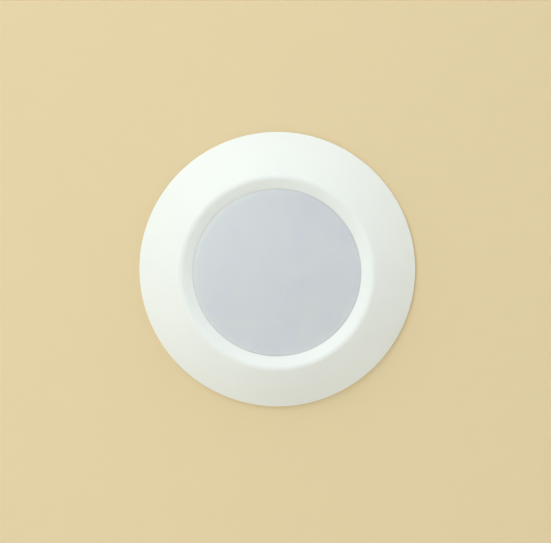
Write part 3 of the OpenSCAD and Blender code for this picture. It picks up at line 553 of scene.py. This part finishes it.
def trim_corners():
    """The flange's bulge, and the corners of the trim's visible side from the rim in to the lens."""
    run, rise = TRIM_R - CREST_R, TRIM_H - RIM_EDGE
    slope = math.atan2(rise, run)
    half = math.hypot(run, rise) / 2
    crest_slope = slope - math.atan(BULGE / half)
    bevel = math.atan2(RECESS, CREST_R - VIEW_R)
    crest_tip = math.cos((crest_slope - bevel) / 2) / math.cos((crest_slope + bevel) / 2) - 1
    rim = Vector((TRIM_R, RIM_EDGE))
    crest = Vector((CREST_R, TRIM_H + CREST_ROUND * crest_tip))
    belly = (rim + crest) / 2 + BULGE * Vector((math.sin(slope), math.cos(slope)))
    belly_round = BELLY_SHARE * half * half / BULGE
    return belly_round, [(TRIM_R, RIM_BACK), rim, belly, crest, (VIEW_R, FOOT_Z), (VIEW_R, LIP_Z)]


def trim_back(under):
    """The trim's hidden side, from the lens seat over the skirt and the flange to the gasket channel."""
    wall_in, wall_out = SKIRT_OUT + FILLET, CHANNEL_WALL_R - FILLET
    flange = [p for p in reversed(under) if SKIRT_OUT + 0.9 < p[0] < CHANNEL_WALL_R - 0.9]
    return [
        (VIEW_R, LIP_Z), (SKIRT_IN, LIP_Z), (SKIRT_IN, SKIRT_Z + CHAMFER), (SKIRT_IN + CHAMFER, SKIRT_Z),
        (SKIRT_OUT - CHAMFER, SKIRT_Z), (SKIRT_OUT, SKIRT_Z + CHAMFER),
        (SKIRT_OUT, height_at(under, SKIRT_OUT) - FILLET), (wall_in, height_at(under, wall_in)),
        *flange,
        (wall_out, height_at(under, wall_out)), (CHANNEL_WALL_R, height_at(under, CHANNEL_WALL_R) - FILLET),
        (CHANNEL_WALL_R, CHANNEL_WALL_Z + CHAMFER), (CHANNEL_WALL_R + CHAMFER, CHANNEL_WALL_Z),
        (CHANNEL_IN - CHAMFER, CHANNEL_WALL_Z), (CHANNEL_IN, CHANNEL_WALL_Z + CHAMFER),
        (CHANNEL_IN, GASKET_T), (CHANNEL_OUT, GASKET_T), (CHANNEL_OUT, RIM_BACK + 0.25),
        (CHANNEL_OUT + 0.25, RIM_BACK), (TRIM_R - 0.3, RIM_BACK), (TRIM_R, RIM_BACK + 0.3)
    ]


def rib(middle, degrees):
    """One radial rib under the flange, and its gusset at the skirt."""
    low, high = SKIRT_OUT + RIB_GAP, CHANNEL_WALL_R + RIB_SINK
    top = [(r, height_at(middle, r)) for r in (high, *RIB_BENDS, low)]
    skirt, foot, back = SKIRT_OUT - GUSSET_SINK, low + 0.5, SKIRT_Z + GUSSET_LIFT
    gusset = [(skirt, back), (foot, back), (foot, GUSSET_TOP), (skirt, GUSSET_TOP)]
    return [radial_plate([(low, RIB_BACK), (high, RIB_BACK)] + top, RIB_T, degrees),
            radial_plate(gusset, RIB_T, degrees)]


def boss(degrees):
    """One screw boss, its edge chamfered and its bore countersunk."""
    a = math.radians(degrees)
    outline = [
        (BOSS_BORE + BOSS_SINK, BOSS_BACK), (BOSS_R - CHAMFER, BOSS_BACK), (BOSS_R, BOSS_BACK + CHAMFER),
        (BOSS_R, BOSS_TOP), (BOSS_BORE, BOSS_TOP), (BOSS_BORE, BOSS_BACK + BOSS_SINK)
    ]
    return lathe(outline, 32, (BOSS_RING_R * math.cos(a), BOSS_RING_R * math.sin(a)))


def add_trim():
    belly_round, corners = trim_corners()
    front = rounded(corners, [0, RIM_ROUND, belly_round, CREST_ROUND, FOOT_ROUND, 0], 20)
    under = rounded(inset(corners, WALL), [0, 0, UNDER_BELLY_ROUND, UNDER_CREST_ROUND, 0, 0])
    under = [p for p in under if p[0] > SKIRT_OUT - UNDER_REACH]
    middle = inset(corners, WALL / 2)
    shapes = [lathe(front[1:-1] + trim_back(under), 288)]
    for i in range(RIB_COUNT):
        shapes += rib(middle, (i + 0.5) * 360 / RIB_COUNT)
    shapes += [boss((i + 0.5) * 360 / BOSS_COUNT) for i in range(BOSS_COUNT)]
    trim = add_mesh("trim_shell", *joined(*shapes))
    dress(trim, trim_finish(), "fixture", ["trim_ring"])


def add_lens():
    arc_r = (FACE_R ** 2 + LENS_CROWN ** 2) / (2 * LENS_CROWN)
    arc_z = FACE_Z + LENS_CROWN - arc_r
    steps = 28

    def dome(radius, reach):
        angles = [math.asin(reach / radius) * i / steps for i in range(steps + 1)]
        return [(radius * math.sin(a), arc_z + radius * math.cos(a)) for a in angles]

    outline = dome(arc_r, FACE_R - LENS_EDGE) + [
        (FACE_R - LENS_EDGE / 3, FACE_Z - LENS_EDGE / 5), (FACE_R, FACE_Z - LENS_EDGE),
        (FACE_R, LENS_FRONT), (LENS_R - CHAMFER, LENS_FRONT), (LENS_R, LENS_FRONT - CHAMFER),
        (LENS_R, LENS_BACK + CHAMFER), (LENS_R - CHAMFER, LENS_BACK), (FACE_R - LENS_T, LENS_BACK)
    ] + dome(arc_r - LENS_T, FACE_R - LENS_T)[::-1]
    lens = add_mesh("lens_diffuser", *lathe(outline, 192))
    dress(lens, lens_finish(), "fixture", ["lens"])


def add_ring(name, profile, steps, material, node):
    ring = add_mesh(name, *lathe(profile, steps))
    dress(ring, material, "fixture", [node])
    return ring


def add_soft_rings():
    """The foam gasket, the two seals and the heat pad."""
    gasket = ring_profile(CHANNEL_IN + GASKET_PLAY, CHANNEL_OUT - GASKET_PLAY, 0.0, GASKET_T, 0.6, 6)
    foam = add_ring("foam_gasket", gasket, 224, foam_finish(), "ceiling_gasket")
    grey = rubber("seal_rubber", (0.55, 0.55, 0.54))
    seal = ring_profile(VIEW_R + 0.6, LENS_R - CHAMFER, LENS_FRONT, LIP_Z, 0.25)
    add_ring("lens_seal_ring", seal, 160, grey, "lens_seal")
    seal = ring_profile(SKIRT_IN + SEAL_MARGIN, SKIRT_OUT - SEAL_MARGIN, TRAY_RIM_Z, SKIRT_Z, 0.35)
    add_ring("tray_seal_ring", seal, 160, grey, "tray_seal")
    pad = ring_profile(PAD_HOLE_R, PAD_R, PAD_BACK, PAD_BACK + PAD_T, 0.1)
    add_ring("heat_pad_sheet", pad, 128, rubber("heat_pad_grey", (0.30, 0.33, 0.37)), "heat_pad")


def add_grommet():
    """The neck and the two lips round the lead's bore."""
    profiles = [ring_profile(GROMMET_BORE, GROMMET_NECK, GROMMET_BACK, GROMMET_FRONT, 0.4)]
    for low in (GROMMET_BACK, GROMMET_LIP_Z):
        profiles.append(ring_profile(GROMMET_IN, GROMMET_OUT, low, low + GROMMET_LIP_T, 0.7, 6))
    shape = joined(*[lathe(p, 64, (0.0, -GROMMET_DROP)) for p in profiles])
    black = rubber("grommet_black", (0.018, 0.018, 0.019), (0.5, 0.7))
    dress(add_mesh("grommet_ring", *shape), black, "fixture", ["lead_grommet"])


def arm_outline():
    """The upper arm's middle line before it is turned: hooked tip, bend and straight, as (y, z)."""
    turn = math.radians(TIP_TURN)
    arm = []
    for k in range(TIP_STEPS):
        out = TIP_L * (1 - k / TIP_STEPS)
        arm.append((COIL_R + TIP_BEND * (1 - math.cos(turn)) + out * math.sin(turn),
                    -ARM_L - TIP_BEND * math.sin(turn) - out * math.cos(turn)))
    for k in range(BEND_STEPS + 1):
        t = turn * (1 - k / BEND_STEPS)
        arm.append((COIL_R + TIP_BEND * (1 - math.cos(t)), -ARM_L - TIP_BEND * math.sin(t)))
    return arm + [(COIL_R, -ARM_L * (1 - k / ARM_STEPS)) for k in range(1, ARM_STEPS)]


def spring_path():
    """The wire's middle line, from the upper arm's tip, round the coil, to the lower arm's tip."""
    a = math.radians(ARM_ANGLE)
    upper = [(COIL_START_X, y * math.cos(a) - z * math.sin(a), y * math.sin(a) + z * math.cos(a) - COIL_DROP)
             for y, z in arm_outline()]
    lower = [(COIL_END_X, -y, z) for _, y, z in reversed(upper)]
    coil = []
    for i in range(COIL_STEPS + 1):
        t = math.radians(-ARM_ANGLE - COIL_WIND * i / COIL_STEPS)
        x = COIL_START_X + (COIL_END_X - COIL_START_X) * i / COIL_STEPS
        coil.append((x, COIL_R * math.cos(t), -COIL_DROP - COIL_R * math.sin(t)))
    return upper + coil + lower


def add_spring(side, sign, wire):
    """One spring's wire, which bends from its upper to its lower arm across the coil."""
    path = [(sign * x, sign * y, z) for x, y, z in spring_path()]
    spring = add_mesh(side + "_spring_wire", *tube(path, WIRE_R, 14))
    nodes = [side + "_spring_coil", side + "_spring_upper_arm", side + "_spring_lower_arm"]
    dress(spring, wire, None, nodes)
    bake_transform(spring)


add_trim()
add_lens()
add_soft_rings()
add_grommet()
wire = wire_finish()
for side, sign in (("right", 1), ("left", -1)):
    add_spring(side, sign, wire)

# Finishes of the carried-over nodes
zinc = plated_finish("zinc_plate", (0.62, 0.64, 0.66), (0.68, 0.66, 0.58))
bright = metal("bright_steel", (0.70, 0.70, 0.71), (0.18, 0.34))
case_white = plastic("case_white", (0.66, 0.67, 0.655), (0.4, 0.55))
finishes = {
    "mounting_plate": zinc,
    "right_spring_bracket": zinc,
    "left_spring_bracket": zinc,
    "ground_screw": metal("green_steel", (0.05, 0.26, 0.10), (0.25, 0.4), 0.2),
    "bracket_rivets": bright,
    "spring_arbors": bright,
    "locking_studs": bright,
    "trim_screws": bright,
    "board_screws": bright,
    "case_screws": bright,
    "driver_screws": bright,
    "cover_screws": bright,
    "lamp_tray": tray_finish(),
    "reflector": plastic("reflector_white", (0.86, 0.86, 0.86), (0.12, 0.22), 0.03),
    "led_board": board_finish("board_white", (0.78, 0.79, 0.78), (0.70, 0.71, 0.70), (0.62, 0.60, 0.50)),
    "led_chips": plastic("phosphor", (0.82, 0.66, 0.20), (0.2, 0.35), 0.15),
    "lead_connector": plastic("connector_ivory", (0.78, 0.74, 0.60)),
    "positive_lead": plastic("lead_red", (0.42, 0.02, 0.02), shift=0.12),
    "negative_lead": plastic("lead_black", (0.016, 0.016, 0.017), shift=0.2),
    "driver_case": case_white,
    "driver_cover": case_white,
    "driver_board": board_finish("board_green", (0.012, 0.11, 0.05), (0.03, 0.19, 0.09), (0.60, 0.58, 0.48)),
    "transformer": plastic("winding_yellow", (0.55, 0.38, 0.05), (0.4, 0.6), 0.2),
    "capacitors": plastic("capacitor_sleeve", (0.012, 0.02, 0.09), (0.2, 0.35), 0.2),
    "surge_guards": plastic("guard_brown", (0.22, 0.075, 0.02), (0.25, 0.4), 0.2),
    "control_chips": plastic("chip_black", (0.016, 0.016, 0.018), (0.5, 0.7), 0.2),
    "terminal_block": plastic("terminal_green", (0.02, 0.18, 0.05), shift=0.12),
    "selector_switch": plastic("switch_grey", (0.10, 0.105, 0.11), (0.4, 0.55), 0.12),
    "selector_knob": plastic("knob_ivory", (0.71, 0.69, 0.64), shift=0.08),
}


def edge_cleaner():
    """A node group that joins a mesh's doubled points and shades it smooth up to its sharp edges."""
    group = bpy.data.node_groups.new("clean_edges", "GeometryNodeTree")
    for way in ("INPUT", "OUTPUT"):
        group.interface.new_socket("Geometry", in_out=way, socket_type="NodeSocketGeometry")
    start, end, merge, angle, sharp, shade = [group.nodes.new(kind) for kind in (
        "NodeGroupInput", "NodeGroupOutput", "GeometryNodeMergeByDistance", "GeometryNodeInputMeshEdgeAngle",
        "FunctionNodeCompare", "GeometryNodeSetMeshNormal")]
    merge.inputs["Distance"].default_value = 1e-6
    sharp.data_type = "FLOAT"
    sharp.operation = "GREATER_THAN"
    sharp.inputs[1].default_value = CAD_SHARP
    shade.mode = "SHARPNESS"
    shade.inputs["Remove Custom"].default_value = True
    for a, b in ((start.outputs[0], merge.inputs["Geometry"]), (merge.outputs[0], shade.inputs["Mesh"]),
                 (angle.outputs["Unsigned Angle"], sharp.inputs[0]),
                 (sharp.outputs[0], shade.inputs["Edge Sharpness"]), (shade.outputs[0], end.inputs[0])):
        group.links.new(a, b)
    return group


def finish_node(obj, material, cleaner):
    """Puts a carried-over node's finish on its slots and softens its edges."""
    if not obj.material_slots:
        obj.data.materials.append(material)
    for slot in obj.material_slots:
        slot.material = material
    obj.modifiers.new("clean", "NODES").node_group = cleaner
    bevel = obj.modifiers.new("soft_edges", "BEVEL")
    bevel.width = SOFT_EDGE
    bevel.segments = 2
    bevel.harden_normals = True
    bevel.limit_method = "ANGLE"
    bevel.angle_limit = CAD_BEVEL_FROM


cleaner = edge_cleaner()
for name, material in finishes.items():
    finish_node(cad[name], material, cleaner)

# Stage, in metres
WALL_Y = 0.0002
WALL_RADII = (0.0942, 0.3, 6.0)
WALL_STEPS = 128
WALL_COLOUR = (0.795, 0.634, 0.392)
FLOOR_Z, FLOOR_REACH = -0.6, 8
FLOOR_COLOUR, FLOOR_SHOWN = (0.79, 0.79, 0.78), (0.62, 0.595, 0.59)


def seen_rays(tree):
    """1 for the rays that show the surroundings: from the camera, off metal and through glass."""
    rays = tree.nodes.new("ShaderNodeLightPath")
    seen = rays.outputs["Is Camera Ray"]
    for kind in ("Is Glossy Ray", "Is Transmission Ray"):
        either = tree.nodes.new("ShaderNodeMath")
        either.operation = "MAXIMUM"
        tree.links.new(seen, either.inputs[0])
        tree.links.new(rays.outputs[kind], either.inputs[1])
        seen = either.outputs["Value"]
    return seen


def stage_paint(name, shown):
    """Matt paint with a faint drift."""
    f = Finish(name, Roughness=0.85, Specular_IOR_Level=0.2)
    return f, f.ramp(f.noise(3, 2), [(0.3, toned(shown, 0.985)), (0.7, shown)])


def wall_finish():
    """Paint on the front, clear from behind."""
    f, paint = stage_paint("wall_paint", WALL_COLOUR)
    f.colour(paint)
    mix = f.node("MixShader")
    f.link(f.node("NewGeometry").outputs["Backfacing"], mix.inputs["Fac"])
    f.link(f.shader.outputs["BSDF"], mix.inputs[1])
    f.link(f.node("BsdfTransparent").outputs["BSDF"], mix.inputs[2])
    f.link(mix.outputs["Shader"], f.output.inputs["Surface"])
    return f.material


def floor_finish():
    """Paint that shows darker than it lights the room."""
    f, paint = stage_paint("floor_paint", FLOOR_SHOWN)
    f.colour(f.mixed(seen_rays(f.tree), FLOOR_COLOUR, paint))
    return f.material


def backdrop(name, points, faces, material):
    mesh = bpy.data.meshes.new(name)
    mesh.from_pydata(points, [], faces)
    mesh.materials.append(material)
    obj = bpy.data.objects.new(name, mesh)
    scene.collection.objects.link(obj)


def add_wall():
    """A flat ring round the hole that the light's back goes through."""
    n = WALL_STEPS
    turns = [2 * math.pi * i / n for i in range(n)]
    points = [(r * math.cos(a), WALL_Y, r * math.sin(a)) for r in WALL_RADII for a in turns]
    faces = [(k * n + i, (k + 1) * n + i, (k + 1) * n + (i + 1) % n, k * n + (i + 1) % n)
             for k in range(len(WALL_RADII) - 1) for i in range(n)]
    backdrop("wall", points, faces, wall_finish())


def add_floor():
    corners = ((-1, -1), (1, -1), (1, 1), (-1, 1))
    points = [(x * FLOOR_REACH, y * FLOOR_REACH, FLOOR_Z) for x, y in corners]
    backdrop("floor", points, [(0, 1, 2, 3)], floor_finish())


def area_light(name, place, size, power, colour):
    """A round soft lamp that faces the object."""
    data = bpy.data.lights.new(name, "AREA")
    data.shape = "DISK"
    data.size = size
    data.energy = power
    data.color = colour
    obj = bpy.data.objects.new(name, data)
    obj.location = place
    scene.collection.objects.link(obj)
    point_at(obj, (0, 0, 0))


add_wall()
add_floor()
area_light("key", (-0.95, -1.42, 1.39), 1.0, 11.4, (0.94, 1.0, 0.97))
area_light("fill", (-0.72, -1.85, 0.24), 0.8, 5.0, (0.925, 0.99, 0.985))
area_light("back", (-0.9, 1.5, 1.1), 1.2, 16.0, (1.0, 0.99, 0.97))

# World
SKY_COLOUR, SHOWN_COLOUR = (0.925, 0.985, 0.98, 1.0), (0.72, 0.71, 0.69, 1.0)
SKY_BESIDE, SKY_AHEAD = 1.865, 0.08  # strength in the wall's plane, and square to the wall


def add_sky():
    """A soft sky that is brightest in the wall's plane, and a plain one for the rays that show it."""
    sky = bpy.data.worlds.new("sky")
    scene.world = sky
    sky.use_nodes = True
    tree = sky.node_tree
    tree.nodes.clear()
    output = tree.nodes.new("ShaderNodeOutputWorld")
    choose = tree.nodes.new("ShaderNodeMixShader")
    tree.links.new(seen_rays(tree), choose.inputs["Fac"])
    lit, shown = [tree.nodes.new("ShaderNodeBackground") for _ in range(2)]
    lit.inputs["Color"].default_value = SKY_COLOUR
    shown.inputs["Color"].default_value = SHOWN_COLOUR
    tree.links.new(lit.outputs["Background"], choose.inputs[1])
    tree.links.new(shown.outputs["Background"], choose.inputs[2])
    towards = tree.nodes.new("ShaderNodeSeparateXYZ")
    tree.links.new(tree.nodes.new("ShaderNodeTexCoord").outputs["Generated"], towards.inputs["Vector"])
    ahead = tree.nodes.new("ShaderNodeMath")
    ahead.operation = "ABSOLUTE"
    tree.links.new(towards.outputs["Y"], ahead.inputs[0])
    fade = tree.nodes.new("ShaderNodeMapRange")
    fade.inputs["To Min"].default_value = SKY_BESIDE
    fade.inputs["To Max"].default_value = SKY_AHEAD
    tree.links.new(ahead.outputs["Value"], fade.inputs["Value"])
    tree.links.new(fade.outputs["Result"], lit.inputs["Strength"])
    tree.links.new(choose.outputs["Shader"], output.inputs["Surface"])


add_sky()
scene.view_settings.view_transform = "Standard"
